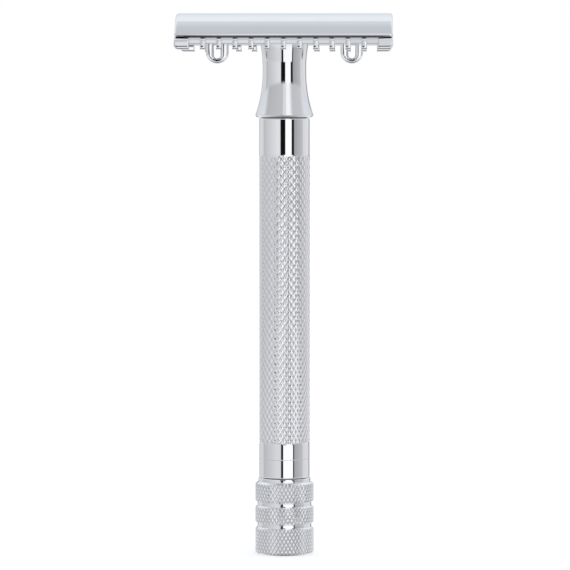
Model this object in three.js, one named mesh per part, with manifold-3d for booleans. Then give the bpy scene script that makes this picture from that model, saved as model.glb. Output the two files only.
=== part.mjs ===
// Double-edge safety razor with an open comb, a long handle and a twist knob.
// Millimetres. It stands on the base of its knob: +Z runs up the handle, X runs
// along the head, and Y runs across the head from one cutting edge to the other.
import * as THREE from 'three';
import { mergeVertices } from 'three/addons/utils/BufferGeometryUtils.js';
import Module from 'manifold-3d';

const wasm = await Module();
wasm.setup();

// ---- Driving dimensions ----

const ROUND_SEGMENTS = 64; // around the handle, the neck and the knob
const SMALL_SEGMENTS = 32; // around the pins, the stud and their holes
const ARC_STEPS = 24; // across the arched head
const BEND_STEPS = 6; // around a small rounded corner
const MERGE_DISTANCE = 1e-4;

const FIT_GAP = 0.02; // between two pieces fixed to each other
const RUNNING_GAP = 0.05; // between two pieces that turn or slide
const AXIAL_GAP = 0.05;

// Heights along the handle's axis
const KNOB_TOP_Z = 14.45;
const TUBE_BOTTOM_Z = 14.55;
const TUBE_TOP_Z = 82.55;
const PLATE_UNDERSIDE_Z = 96.45;
const CAP_CREST_Z = 102.35;

// Head
const HEAD_LENGTH = 40.7;
const BLADE_CROWN_Z = 99.12; // the blade's middle surface, above the handle's axis
const BLADE_BEND_RADIUS = 37.9;
const BLADE_LENGTH = 40.4;
const BLADE_WIDTH = 22;
const BLADE_THICKNESS = 0.1;
const BLADE_EDGE_LENGTH = 37.2; // length of each cutting edge
const BLADE_TAB_WIDTH = 13.2;
const BLADE_SLOT_HALF_WIDTH = 0.8;
const BLADE_SLOT_REACH = 16;
const BLADE_CENTRE_HOLE_RADIUS = 2.9;
const BLADE_PIN_HOLE_RADIUS = 1.45;
const BLADE_SEAT_GAP = 0.03; // between the blade and each clamping face
const BLADE_CORNER_RADIUS = 0.8;

const CAP_HALF_DEPTH = 10.4;
const CAP_LIP_TOP_Z = 98.2;
const CAP_END_RADIUS = 0.6;
const PIN_OFFSET = 12.7; // from the centre of the head to each alignment pin
const PIN_RADIUS = 0.9;
const PIN_TIP_Z = 96.75;
const PIN_TIP_CHAMFER = 0.25;

const PLATE_HALF_DEPTH = 8.8; // along the bottom edge
const PLATE_TOP_HALF_DEPTH = 8.66; // the front and back lean in towards the top
const COMB_HALF_DEPTH = 12.2;
const TOOTH_PITCH = 3;
const TOOTH_WIDTH = 1;
const TEETH_EACH_SIDE_OF_CENTRE = 5;
const END_TAB_WIDTH = 2.8;
const END_TAB_RADIUS = 1.2;
const TOOTH_TIP_Z = 95.35;
const TOOTH_THICKNESS = 1;
const TOOTH_SHOULDER_RADIUS = 1.1;
const TOOTH_ROOT_RADIUS = 0.4;
const PIN_HOLE_RADIUS = 1;
const LOOP_HALF_WIDTH = 2.15;
const LOOP_HALF_DEPTH = 1.5;
const LOOP_BOTTOM_Z = 92.9;
const LOOP_WINDOW_HALF_WIDTH = 0.65;
const LOOP_WINDOW_BOTTOM_Z = 93.85;

// Neck, swaged into the comb plate at its top and pressed into the tube below
const NECK_BASE_RADIUS = 5.2;
const NECK_RIM_RADIUS = 5.5;
const NECK_RIM_Z = 83.15;
const NECK_FLARE = [[4.96, 84.8], [4.49, 86.95], [4.18, 89.35], [4.12, 91.55], [4.28, 94.75]];
const NECK_TOP_RADIUS = 4.55;
const NECK_FLARE_STEPS = 18;
const NECK_SPIGOT_RADIUS = 3.58;
const NECK_SPIGOT_BOTTOM_Z = 77.05;
const NECK_BORE_RADIUS = 3.25;
const NECK_SHOULDER_Z = 94.95; // the draw nut bears up against this step
const NECK_THROAT_RADIUS = 2.6;
const SWAGE_STEM_RADIUS = 3.4;
const SWAGE_RIM_RADIUS = 3.9;
const SWAGE_RIM_BOTTOM_Z = 98.05;
const SWAGE_RIM_TOP_Z = 98.55;

// Handle tube
const TUBE_RADIUS = 4.785;
const TUBE_BORE_RADIUS = 3.6;
const TUBE_EDGE_CHAMFER = 0.1;
const BUSH_LENGTH = 5;

// Knob
const KNOB_RADIUS = 5.55;
const KNOB_GROOVE_RADIUS = 5.13;
const KNOB_LIP_RADIUS = 4.95;
const KNOB_LIP_BOTTOM_Z = 13.8;
const KNOB_BASE_CHAMFER = 0.3;
const KNOB_RINGS = [
  { bottom: 0.3, top: 4.95 },
  { bottom: 6, top: 9 },
  { bottom: 10.05, top: 13.45 },
];
const KNOB_GROOVE_FLOOR = 0.3; // flat width at the bottom of each groove
const KNOB_BORE_BOTTOM_Z = 3.35;
const KNOB_RECESS_RADIUS = 3.5; // holds the thrust washer

// Draw mechanism
const SPINDLE_RADIUS = 2;
const SPINDLE_BOTTOM_Z = 3.55;
const SPINDLE_TOP_Z = 87.15;
const SPINDLE_CHAMFER = 0.3;
const CLIP_GROOVE_RADIUS = 1.6;
const CLIP_THICKNESS = 0.6;
const CLIP_OUTER_RADIUS = 3.1;
const CLIP_MOUTH_WIDTH = 2;
const WASHER_OUTER_RADIUS = 3.4;
const WASHER_THICKNESS = 0.3;
const NUT_RADIUS = 3.15;
const NUT_BOTTOM_Z = 84.85;
const NUT_TOP_Z = 94.85;
const NUT_SOCKET_TOP_Z = 87.25;
const NUT_THREAD_BOTTOM_Z = 87.85;
const STUD_RADIUS = 2.4;
const STUD_BOTTOM_Z = 89.15;
const STUD_TIP_CHAMFER = 0.4;
const STUD_TENON_RADIUS = 1.6;
const STUD_TENON_TOP_Z = 100.95;

// ---- Values worked out from them ----

const HALF_HEAD = HEAD_LENGTH / 2;
const BEND_CENTRE_Z = BLADE_CROWN_Z - BLADE_BEND_RADIUS;
const CAP_UNDERSIDE_RADIUS = BLADE_BEND_RADIUS + BLADE_THICKNESS / 2 + BLADE_SEAT_GAP;
const PLATE_TOP_RADIUS = BLADE_BEND_RADIUS - BLADE_THICKNESS / 2 - BLADE_SEAT_GAP;
const CLIP_BOTTOM_Z = TUBE_BOTTOM_Z + BUSH_LENGTH + AXIAL_GAP;
const WASHER_TOP_Z = TUBE_BOTTOM_Z - AXIAL_GAP;

// ---- Shape helpers ----

// A closed solid from a closed three.js geometry.
function solidOf(geometry) {
  const bare = geometry.clone();
  bare.deleteAttribute('normal');
  bare.deleteAttribute('uv');
  const merged = mergeVertices(bare, MERGE_DISTANCE);
  const index = merged.index.array;
  const triangles = [];
  for (let i = 0; i < index.length; i += 3) {
    const [a, b, c] = index.slice(i, i + 3);
    if (a !== b && b !== c && c !== a) triangles.push(a, b, c);
  }
  return new wasm.Manifold(new wasm.Mesh({
    numProp: 3,
    vertProperties: new Float32Array(merged.attributes.position.array),
    triVerts: new Uint32Array(triangles),
  }));
}

// A solid turned about the Z axis. The outline is [radius, height] pairs, anticlockwise
// with the radius to the right. An outline that touches the axis starts and ends on it.
function turned(outline, segments = ROUND_SEGMENTS) {
  const points = outline.map(([radius, height]) => new THREE.Vector2(radius, height));
  if (points[0].x > 0) points.push(points[0].clone());
  const geometry = new THREE.LatheGeometry(points, segments);
  geometry.rotateX(Math.PI / 2);
  return solidOf(geometry);
}

// A plain round rod or ring between two heights.
function rod(radius, bottom, top, segments = SMALL_SEGMENTS) {
  return turned([[0, bottom], [radius, bottom], [radius, top], [0, top]], segments);
}

function ring(inner, outer, bottom, top, segments = ROUND_SEGMENTS) {
  return turned([[inner, bottom], [outer, bottom], [outer, top], [inner, top]], segments);
}

function shapeOf(outline) {
  return new THREE.Shape(outline.map(([u, v]) => new THREE.Vector2(u, v)));
}

// A prism along X, from an outline of [y, z] pairs.
function prismAlongX(outline, start, end) {
  const options = { depth: end - start, bevelEnabled: false };
  const geometry = new THREE.ExtrudeGeometry(shapeOf(outline), options);
  const axes = [new THREE.Vector3(0, 1, 0), new THREE.Vector3(0, 0, 1), new THREE.Vector3(1, 0, 0)];
  geometry.applyMatrix4(new THREE.Matrix4().makeBasis(...axes));
  geometry.translate(start, 0, 0);
  return solidOf(geometry);
}

// A prism along Y, from an outline of [x, z] pairs, centred on y = 0.
function prismAlongY(outline, halfDepth) {
  const options = { depth: 2 * halfDepth, bevelEnabled: false };
  const geometry = new THREE.ExtrudeGeometry(shapeOf(outline), options);
  geometry.rotateX(Math.PI / 2);
  geometry.translate(0, halfDepth, 0);
  return solidOf(geometry);
}

// A prism along Z, from an outline of [x, y] pairs.
function prismAlongZ(outline, bottom, top) {
  const options = { depth: top - bottom, bevelEnabled: false };
  const geometry = new THREE.ExtrudeGeometry(shapeOf(outline), options);
  geometry.translate(0, 0, bottom);
  return solidOf(geometry);
}

// Points on an arc, angles in radians from the first axis of the plane.
function arc(centreU, centreV, radius, from, to, steps) {
  const points = [];
  for (let i = 0; i <= steps; i += 1) {
    const angle = from + ((to - from) * i) / steps;
    points.push([centreU + radius * Math.cos(angle), centreV + radius * Math.sin(angle)]);
  }
  return points;
}

// An arch over the handle's axis, from +halfWidth to -halfWidth.
function arch(radius, centreZ, halfWidth) {
  const lean = Math.asin(halfWidth / radius);
  return arc(0, centreZ, radius, Math.PI / 2 - lean, Math.PI / 2 + lean, ARC_STEPS);
}

function archHeight(radius, y) {
  return BEND_CENTRE_Z + Math.sqrt(radius * radius - y * y);
}

const STUD_SHOULDER_Z = archHeight(CAP_UNDERSIDE_RADIUS, STUD_RADIUS) - FIT_GAP;

function mirrored(outline) {
  return outline.map(([u, v]) => [-u, v]).reverse();
}

// ---- Head ----

function makeCap() {
  const rise = CAP_CREST_Z - CAP_LIP_TOP_Z;
  const crownRadius = (CAP_HALF_DEPTH ** 2 + rise ** 2) / (2 * rise);
  const section = [
    ...arch(crownRadius, CAP_CREST_Z - crownRadius, CAP_HALF_DEPTH),
    ...arch(CAP_UNDERSIDE_RADIUS, BEND_CENTRE_Z, CAP_HALF_DEPTH).reverse(),
  ];
  const corner = HALF_HEAD - CAP_END_RADIUS;
  const cornerZ = CAP_CREST_Z - CAP_END_RADIUS;
  const rightCorner = arc(corner, cornerZ, CAP_END_RADIUS, 0, Math.PI / 2, BEND_STEPS);
  const frontView = [
    [-HALF_HEAD, PLATE_UNDERSIDE_Z],
    [HALF_HEAD, PLATE_UNDERSIDE_Z],
    ...rightCorner,
    ...mirrored(rightCorner),
  ];
  let cap = prismAlongX(section, -HALF_HEAD, HALF_HEAD);
  cap = cap.intersect(prismAlongY(frontView, COMB_HALF_DEPTH));
  const pin = turned([
    [0, PIN_TIP_Z],
    [PIN_RADIUS - PIN_TIP_CHAMFER, PIN_TIP_Z],
    [PIN_RADIUS, PIN_TIP_Z + PIN_TIP_CHAMFER],
    [PIN_RADIUS, STUD_TENON_TOP_Z],
    [0, STUD_TENON_TOP_Z],
  ], SMALL_SEGMENTS);
  for (const side of [-1, 1]) cap = cap.add(pin.translate(side * PIN_OFFSET, 0, 0));
  const hole = rod(STUD_TENON_RADIUS + FIT_GAP, PLATE_UNDERSIDE_Z, STUD_TENON_TOP_Z + FIT_GAP);
  return cap.subtract(hole);
}

function makeCapStud() {
  return turned([
    [0, STUD_BOTTOM_Z],
    [STUD_RADIUS - STUD_TIP_CHAMFER, STUD_BOTTOM_Z],
    [STUD_RADIUS, STUD_BOTTOM_Z + STUD_TIP_CHAMFER],
    [STUD_RADIUS, STUD_SHOULDER_Z],
    [STUD_TENON_RADIUS, STUD_SHOULDER_Z],
    [STUD_TENON_RADIUS, STUD_TENON_TOP_Z],
    [0, STUD_TENON_TOP_Z],
  ], SMALL_SEGMENTS);
}

function makeBlade() {
  const lean = BLADE_WIDTH / 2 / BLADE_BEND_RADIUS;
  const halfChord = BLADE_BEND_RADIUS * Math.sin(lean);
  const outer = BLADE_BEND_RADIUS + BLADE_THICKNESS / 2;
  const inner = BLADE_BEND_RADIUS - BLADE_THICKNESS / 2;
  const section = [
    ...arch(outer, BEND_CENTRE_Z, halfChord),
    ...arch(inner, BEND_CENTRE_Z, halfChord).reverse(),
  ];
  const halfEdge = BLADE_EDGE_LENGTH / 2;
  const halfTab = BLADE_TAB_WIDTH / 2;
  const halfLength = BLADE_LENGTH / 2;
  const tabCorner = arc(halfLength - BLADE_CORNER_RADIUS, halfTab - BLADE_CORNER_RADIUS,
    BLADE_CORNER_RADIUS, 0, Math.PI / 2, BEND_STEPS);
  const quarter = [...tabCorner, [halfEdge, halfTab], [halfEdge, BLADE_WIDTH / 2]];
  const topHalf = [...quarter, ...mirrored(quarter)];
  const bottomHalf = topHalf.map(([x, y]) => [x, -y]).reverse();
  const plan = prismAlongZ([...topHalf, ...bottomHalf], TOOTH_TIP_Z, CAP_CREST_Z);
  let blade = prismAlongX(section, -halfLength, halfLength).intersect(plan);
  const slot = prismAlongZ([
    [-BLADE_SLOT_REACH, -BLADE_SLOT_HALF_WIDTH],
    [BLADE_SLOT_REACH, -BLADE_SLOT_HALF_WIDTH],
    [BLADE_SLOT_REACH, BLADE_SLOT_HALF_WIDTH],
    [-BLADE_SLOT_REACH, BLADE_SLOT_HALF_WIDTH],
  ], TOOTH_TIP_Z, CAP_CREST_Z);
  blade = blade.subtract(slot);
  blade = blade.subtract(rod(BLADE_CENTRE_HOLE_RADIUS, TOOTH_TIP_Z, CAP_CREST_Z));
  const pinHole = rod(BLADE_PIN_HOLE_RADIUS, TOOTH_TIP_Z, CAP_CREST_Z);
  for (const side of [-1, 1]) blade = blade.subtract(pinHole.translate(side * PIN_OFFSET, 0, 0));
  return blade;
}

// A comb tooth in side view: it leaves the plate under the blade and hooks down.
function toothOutline() {
  const rootY = PLATE_HALF_DEPTH - TOOTH_THICKNESS;
  const shoulderY = COMB_HALF_DEPTH - TOOTH_SHOULDER_RADIUS;
  const shoulderZ = archHeight(PLATE_TOP_RADIUS, shoulderY) - TOOTH_SHOULDER_RADIUS;
  const innerY = COMB_HALF_DEPTH - TOOTH_THICKNESS;
  const tipRadius = TOOTH_THICKNESS / 2;
  const tip = arc(innerY + tipRadius, TOOTH_TIP_Z + tipRadius, tipRadius, 0, -Math.PI, BEND_STEPS);
  const rootCentre = innerY - TOOTH_ROOT_RADIUS;
  const root = arc(rootCentre, PLATE_UNDERSIDE_Z - TOOTH_ROOT_RADIUS, TOOTH_ROOT_RADIUS,
    0, Math.PI / 2, BEND_STEPS);
  const shoulder = arc(shoulderY, shoulderZ, TOOTH_SHOULDER_RADIUS, Math.PI / 2, 0, BEND_STEPS);
  const top = [rootY, (rootY + shoulderY) / 2].map((y) => [y, archHeight(PLATE_TOP_RADIUS, y)]);
  return [...top, ...shoulder, ...tip, ...root, [rootY, PLATE_UNDERSIDE_Z]].reverse();
}

// A U-shaped loop hanging below the plate, open from front to back.
function makeLoop() {
  const rise = PLATE_UNDERSIDE_Z + FIT_GAP;
  const outer = arc(0, LOOP_BOTTOM_Z + LOOP_HALF_WIDTH, LOOP_HALF_WIDTH, Math.PI, 2 * Math.PI,
    2 * BEND_STEPS);
  const inner = arc(0, LOOP_WINDOW_BOTTOM_Z + LOOP_WINDOW_HALF_WIDTH, LOOP_WINDOW_HALF_WIDTH,
    2 * Math.PI, Math.PI, 2 * BEND_STEPS);
  const outline = [
    [-LOOP_HALF_WIDTH, rise],
    ...outer,
    [LOOP_HALF_WIDTH, rise],
    [LOOP_WINDOW_HALF_WIDTH, rise],
    ...inner,
    [-LOOP_WINDOW_HALF_WIDTH, rise],
  ];
  return prismAlongY(outline, LOOP_HALF_DEPTH);
}

function makeCombPlate() {
  const section = [
    [-PLATE_HALF_DEPTH, PLATE_UNDERSIDE_Z],
    [PLATE_HALF_DEPTH, PLATE_UNDERSIDE_Z],
    ...arch(PLATE_TOP_RADIUS, BEND_CENTRE_Z, PLATE_TOP_HALF_DEPTH),
  ];
  let plate = prismAlongX(section, -HALF_HEAD, HALF_HEAD);

  const tooth = prismAlongX(toothOutline(), -TOOTH_WIDTH / 2, TOOTH_WIDTH / 2);
  const tabStart = HALF_HEAD - END_TAB_WIDTH;
  const cornerX = HALF_HEAD - END_TAB_RADIUS;
  const cornerZ = TOOTH_TIP_Z + END_TAB_RADIUS;
  const tabFrontView = [
    [tabStart, TOOTH_TIP_Z],
    ...arc(cornerX, cornerZ, END_TAB_RADIUS, -Math.PI / 2, 0, BEND_STEPS),
    [HALF_HEAD, CAP_CREST_Z],
    [tabStart, CAP_CREST_Z],
  ];
  const endTab = prismAlongX(toothOutline(), tabStart, HALF_HEAD)
    .intersect(prismAlongY(tabFrontView, COMB_HALF_DEPTH + END_TAB_RADIUS));
  for (const side of [[1, 1, 1], [1, -1, 1]]) {
    for (let i = -TEETH_EACH_SIDE_OF_CENTRE; i <= TEETH_EACH_SIDE_OF_CENTRE; i += 1) {
      plate = plate.add(tooth.scale(side).translate(i * TOOTH_PITCH, 0, 0));
    }
    plate = plate.add(endTab.scale(side));
    plate = plate.add(endTab.scale([-side[0], side[1], side[2]]));
  }

  const loop = makeLoop();
  const pinHole = rod(PIN_HOLE_RADIUS, PLATE_UNDERSIDE_Z - FIT_GAP, CAP_CREST_Z);
  for (const side of [-1, 1]) {
    plate = plate.add(loop.translate(side * PIN_OFFSET, 0, 0));
    plate = plate.subtract(pinHole.translate(side * PIN_OFFSET, 0, 0));
  }
  plate = plate.subtract(rod(SWAGE_STEM_RADIUS + FIT_GAP, LOOP_BOTTOM_Z, CAP_CREST_Z));
  return plate.subtract(rod(SWAGE_RIM_RADIUS + FIT_GAP, SWAGE_RIM_BOTTOM_Z, CAP_CREST_Z));
}

// ---- Handle ----

function makeNeck() {
  const flarePoints = [[NECK_RIM_RADIUS, NECK_RIM_Z], ...NECK_FLARE,
    [NECK_TOP_RADIUS, PLATE_UNDERSIDE_Z - FIT_GAP]];
  const curve = new THREE.SplineCurve(flarePoints.map(([r, z]) => new THREE.Vector2(r, z)));
  const flare = curve.getPoints(NECK_FLARE_STEPS).map((point) => [point.x, point.y]);
  return turned([
    [NECK_BORE_RADIUS, NECK_SPIGOT_BOTTOM_Z],
    [NECK_SPIGOT_RADIUS, NECK_SPIGOT_BOTTOM_Z],
    [NECK_SPIGOT_RADIUS, TUBE_TOP_Z + FIT_GAP],
    [NECK_BASE_RADIUS, TUBE_TOP_Z + FIT_GAP],
    ...flare,
    [SWAGE_STEM_RADIUS, PLATE_UNDERSIDE_Z - FIT_GAP],
    [SWAGE_STEM_RADIUS, SWAGE_RIM_BOTTOM_Z + FIT_GAP],
    [SWAGE_RIM_RADIUS, SWAGE_RIM_BOTTOM_Z + FIT_GAP],
    [SWAGE_RIM_RADIUS, SWAGE_RIM_TOP_Z],
    [NECK_THROAT_RADIUS, SWAGE_RIM_TOP_Z],
    [NECK_THROAT_RADIUS, NECK_SHOULDER_Z],
    [NECK_BORE_RADIUS, NECK_SHOULDER_Z],
  ]);
}

function makeHandleTube() {
  return turned([
    [TUBE_BORE_RADIUS, TUBE_BOTTOM_Z],
    [TUBE_RADIUS - TUBE_EDGE_CHAMFER, TUBE_BOTTOM_Z],
    [TUBE_RADIUS, TUBE_BOTTOM_Z + TUBE_EDGE_CHAMFER],
    [TUBE_RADIUS, TUBE_TOP_Z - TUBE_EDGE_CHAMFER],
    [TUBE_RADIUS - TUBE_EDGE_CHAMFER, TUBE_TOP_Z],
    [TUBE_BORE_RADIUS, TUBE_TOP_Z],
  ]);
}

function makeLowerBush() {
  const inner = SPINDLE_RADIUS + RUNNING_GAP;
  const outer = TUBE_BORE_RADIUS - FIT_GAP;
  return ring(inner, outer, TUBE_BOTTOM_Z, TUBE_BOTTOM_Z + BUSH_LENGTH);
}

// ---- Draw mechanism, turned by the knob ----

function makeSpindle() {
  const grooveBottom = CLIP_BOTTOM_Z - FIT_GAP;
  const grooveTop = CLIP_BOTTOM_Z + CLIP_THICKNESS + FIT_GAP;
  return turned([
    [0, SPINDLE_BOTTOM_Z],
    [SPINDLE_RADIUS - SPINDLE_CHAMFER, SPINDLE_BOTTOM_Z],
    [SPINDLE_RADIUS, SPINDLE_BOTTOM_Z + SPINDLE_CHAMFER],
    [SPINDLE_RADIUS, grooveBottom],
    [CLIP_GROOVE_RADIUS, grooveBottom],
    [CLIP_GROOVE_RADIUS, grooveTop],
    [SPINDLE_RADIUS, grooveTop],
    [SPINDLE_RADIUS, SPINDLE_TOP_Z - SPINDLE_CHAMFER],
    [SPINDLE_RADIUS - SPINDLE_CHAMFER, SPINDLE_TOP_Z],
    [0, SPINDLE_TOP_Z],
  ], SMALL_SEGMENTS);
}

function makeDrawNut() {
  return turned([
    [SPINDLE_RADIUS + FIT_GAP, NUT_BOTTOM_Z],
    [NUT_RADIUS, NUT_BOTTOM_Z],
    [NUT_RADIUS, NUT_TOP_Z],
    [STUD_RADIUS + RUNNING_GAP, NUT_TOP_Z],
    [STUD_RADIUS + RUNNING_GAP, NUT_THREAD_BOTTOM_Z],
    [0, NUT_THREAD_BOTTOM_Z],
    [0, NUT_SOCKET_TOP_Z],
    [SPINDLE_RADIUS + FIT_GAP, NUT_SOCKET_TOP_Z],
  ], SMALL_SEGMENTS);
}

function makeRetainingClip() {
  const top = CLIP_BOTTOM_Z + CLIP_THICKNESS;
  const inner = CLIP_GROOVE_RADIUS + FIT_GAP;
  const body = ring(inner, CLIP_OUTER_RADIUS, CLIP_BOTTOM_Z, top, SMALL_SEGMENTS);
  const halfMouth = CLIP_MOUTH_WIDTH / 2;
  const mouth = prismAlongZ([
    [0, -halfMouth],
    [CLIP_OUTER_RADIUS + halfMouth, -halfMouth],
    [CLIP_OUTER_RADIUS + halfMouth, halfMouth],
    [0, halfMouth],
  ], CLIP_BOTTOM_Z - CLIP_THICKNESS, top + CLIP_THICKNESS);
  return body.subtract(mouth);
}

function makeThrustWasher() {
  const inner = SPINDLE_RADIUS + FIT_GAP;
  return ring(inner, WASHER_OUTER_RADIUS, WASHER_TOP_Z - WASHER_THICKNESS, WASHER_TOP_Z);
}

function makeKnob() {
  const outline = [[0, 0], [KNOB_RADIUS - KNOB_BASE_CHAMFER, 0]];
  KNOB_RINGS.forEach(({ bottom, top }, i) => {
    outline.push([KNOB_RADIUS, bottom], [KNOB_RADIUS, top]);
    const next = KNOB_RINGS[i + 1];
    if (next) {
      const floorZ = (top + next.bottom) / 2;
      outline.push([KNOB_GROOVE_RADIUS, floorZ - KNOB_GROOVE_FLOOR / 2]);
      outline.push([KNOB_GROOVE_RADIUS, floorZ + KNOB_GROOVE_FLOOR / 2]);
    }
  });
  const recessFloorZ = WASHER_TOP_Z - WASHER_THICKNESS - FIT_GAP;
  const bore = SPINDLE_RADIUS + FIT_GAP;
  outline.push(
    [KNOB_LIP_RADIUS, KNOB_LIP_BOTTOM_Z],
    [KNOB_LIP_RADIUS, KNOB_TOP_Z],
    [KNOB_RECESS_RADIUS, KNOB_TOP_Z],
    [KNOB_RECESS_RADIUS, recessFloorZ],
    [bore, recessFloorZ],
    [bore, KNOB_BORE_BOTTOM_Z],
    [0, KNOB_BORE_BOTTOM_Z],
  );
  return turned(outline);
}

// ---- Materials ----

function finish(color, roughness, metalness = 1) {
  return () => new THREE.MeshStandardMaterial({ color, roughness, metalness });
}

const chrome = finish(0xd9dce0, 0.08);
const steel = finish(0x9a9da2, 0.35);
const bladeSteel = finish(0xb9bdc4, 0.2);
const springSteel = finish(0x4d4f54, 0.45);
const brass = finish(0xb9934a, 0.3);
const nylon = finish(0xe6e2d6, 0.6, 0);

// ---- Assembly ----

const razor = new THREE.Group();

function place(name, solid, material) {
  const { vertProperties, triVerts } = solid.getMesh();
  const geometry = new THREE.BufferGeometry();
  geometry.setAttribute('position', new THREE.BufferAttribute(vertProperties, 3));
  geometry.setIndex(new THREE.BufferAttribute(triVerts, 1));
  geometry.computeVertexNormals();
  const mesh = new THREE.Mesh(geometry, material());
  mesh.name = name;
  razor.add(mesh);
}

place('cap', makeCap(), chrome);
place('cap_stud', makeCapStud(), steel);
place('blade', makeBlade(), bladeSteel);
place('comb_plate', makeCombPlate(), chrome);
place('neck', makeNeck(), chrome);
place('handle_tube', makeHandleTube(), chrome);
place('lower_bush', makeLowerBush(), brass);
place('draw_nut', makeDrawNut(), brass);
place('spindle', makeSpindle(), steel);
place('retaining_clip', makeRetainingClip(), springSteel);
place('thrust_washer', makeThrustWasher(), nylon);
place('knob', makeKnob(), chrome);

export default razor;
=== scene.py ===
"""A chromed open-comb safety razor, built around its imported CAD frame.

Metres. The razor stands on its knob: +Z up the handle, X along the head, Y across it.
"""

import math

import bmesh
import bpy
from mathutils import Matrix, Vector


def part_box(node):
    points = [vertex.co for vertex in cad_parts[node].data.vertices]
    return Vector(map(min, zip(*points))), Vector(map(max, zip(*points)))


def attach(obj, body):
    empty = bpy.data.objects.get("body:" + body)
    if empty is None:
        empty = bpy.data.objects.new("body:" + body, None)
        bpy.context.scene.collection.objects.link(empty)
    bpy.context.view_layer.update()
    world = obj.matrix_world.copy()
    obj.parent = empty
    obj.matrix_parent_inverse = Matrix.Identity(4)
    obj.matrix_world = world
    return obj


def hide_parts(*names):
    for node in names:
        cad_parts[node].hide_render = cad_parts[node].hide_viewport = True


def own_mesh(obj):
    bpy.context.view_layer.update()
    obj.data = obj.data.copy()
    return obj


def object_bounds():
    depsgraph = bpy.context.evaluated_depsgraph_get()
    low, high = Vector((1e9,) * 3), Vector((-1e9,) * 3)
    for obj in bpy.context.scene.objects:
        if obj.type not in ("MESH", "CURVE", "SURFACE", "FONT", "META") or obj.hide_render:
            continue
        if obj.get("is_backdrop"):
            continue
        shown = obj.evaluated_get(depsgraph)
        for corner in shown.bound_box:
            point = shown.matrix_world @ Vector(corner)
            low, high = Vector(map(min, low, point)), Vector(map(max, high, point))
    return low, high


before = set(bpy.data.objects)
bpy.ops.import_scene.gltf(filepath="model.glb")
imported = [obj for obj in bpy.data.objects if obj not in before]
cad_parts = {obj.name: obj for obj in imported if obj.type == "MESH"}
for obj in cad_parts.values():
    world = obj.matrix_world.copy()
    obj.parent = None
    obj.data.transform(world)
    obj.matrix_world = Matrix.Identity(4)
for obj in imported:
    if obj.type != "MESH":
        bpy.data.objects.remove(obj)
cad_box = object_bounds()

MM = 0.001
SHARP_ANGLE = math.radians(32)
SAME_PLACE = 1e-8  # points closer than this are one point

# ---- Places taken from the frame ----

cap_low, cap_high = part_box("cap")
comb_low, comb_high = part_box("comb_plate")
tube_low, tube_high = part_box("handle_tube")
neck_low, neck_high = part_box("neck")
_, knob_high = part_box("knob")
blade_low, blade_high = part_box("blade")
stud_low, stud_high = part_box("cap_stud")

CAP_CREST = cap_high.z
HALF_HEAD = cap_high.x
CAP_HALF_DEPTH = cap_high.y
PIN_TIP = cap_low.z
COMB_HALF_DEPTH = comb_high.y
LOOP_BOTTOM = comb_low.z
TUBE_BOTTOM, TUBE_TOP = tube_low.z, tube_high.z
TUBE_RADIUS = tube_high.x
NECK_RIM_RADIUS = neck_high.x
KNOB_TOP = knob_high.z
KNOB_RADIUS = knob_high.x
BLADE_HALF_LENGTH = blade_high.x
STUD_RADIUS = stud_high.x
STUD_BOTTOM = stud_low.z

# ---- Sizes of the shapes themselves ----

BLADE_THICKNESS = 0.1 * MM
BLADE_HALF_WIDTH = 11 * MM
BEND_RADIUS = 37.9 * MM  # of the clamped blade's middle surface
BEND_CENTRE = blade_high.z - BLADE_THICKNESS / 2 - BEND_RADIUS
SEAT_GAP = 0.03 * MM
CAP_UNDERSIDE_RADIUS = BEND_RADIUS + BLADE_THICKNESS / 2 + SEAT_GAP
COMB_TOP_RADIUS = BEND_RADIUS - BLADE_THICKNESS / 2 - SEAT_GAP
PIN_OFFSET = 12.7 * MM
PIN_RADIUS = 0.9 * MM
PIN_TIP_ROUNDING = 0.3 * MM
PIN_ROOT_DEPTH = 2 * MM  # from the crest of the cap down to where a pin starts inside it
PIN_SEGMENTS = 48


# ---- Mesh helpers ----


def make_piece(name, vertices, faces):
    """A mesh object with its faces turned outwards."""
    mesh = bpy.data.meshes.new(name)
    mesh.from_pydata([tuple(v) for v in vertices], [], faces)
    piece = bpy.data.objects.new(name, mesh)
    bpy.context.scene.collection.objects.link(piece)
    tidy_normals(piece)
    return piece


def tidy_normals(piece):
    work = bmesh.new()
    work.from_mesh(piece.data)
    bmesh.ops.remove_doubles(work, verts=work.verts, dist=SAME_PLACE)
    bmesh.ops.dissolve_degenerate(work, edges=work.edges, dist=SAME_PLACE)
    bmesh.ops.recalc_face_normals(work, faces=work.faces)
    work.to_mesh(piece.data)
    work.free()


def shade(piece, angle=SHARP_ANGLE):
    """Smooth shading, with a crease along every edge sharper than the angle."""
    work = bmesh.new()
    work.from_mesh(piece.data)
    for face in work.faces:
        face.smooth = True
    for edge in work.edges:
        if len(edge.link_faces) == 2:
            edge.smooth = edge.calc_face_angle(0.0) < angle
    work.to_mesh(piece.data)
    work.free()


def combine(target, tool, operation):
    """Joins or cuts target with tool, which is used up."""
    step = target.modifiers.new(operation.lower(), "BOOLEAN")
    step.operation = operation
    step.object = tool
    step.solver = "MANIFOLD"
    apply_modifiers(target)
    bpy.data.objects.remove(tool)


def apply_modifiers(piece):
    graph = bpy.context.evaluated_depsgraph_get()
    made = bpy.data.meshes.new_from_object(piece.evaluated_get(graph))
    piece.modifiers.clear()
    piece.data = made


def merge(name, pieces):
    """One object holding several meshes that don't touch each other."""
    work = bmesh.new()
    for piece in pieces:
        piece.data.transform(piece.matrix_world)
        work.from_mesh(piece.data)
        bpy.data.objects.remove(piece)
    mesh = bpy.data.meshes.new(name)
    work.to_mesh(mesh)
    work.free()
    joined = bpy.data.objects.new(name, mesh)
    bpy.context.scene.collection.objects.link(joined)
    return joined


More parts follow.
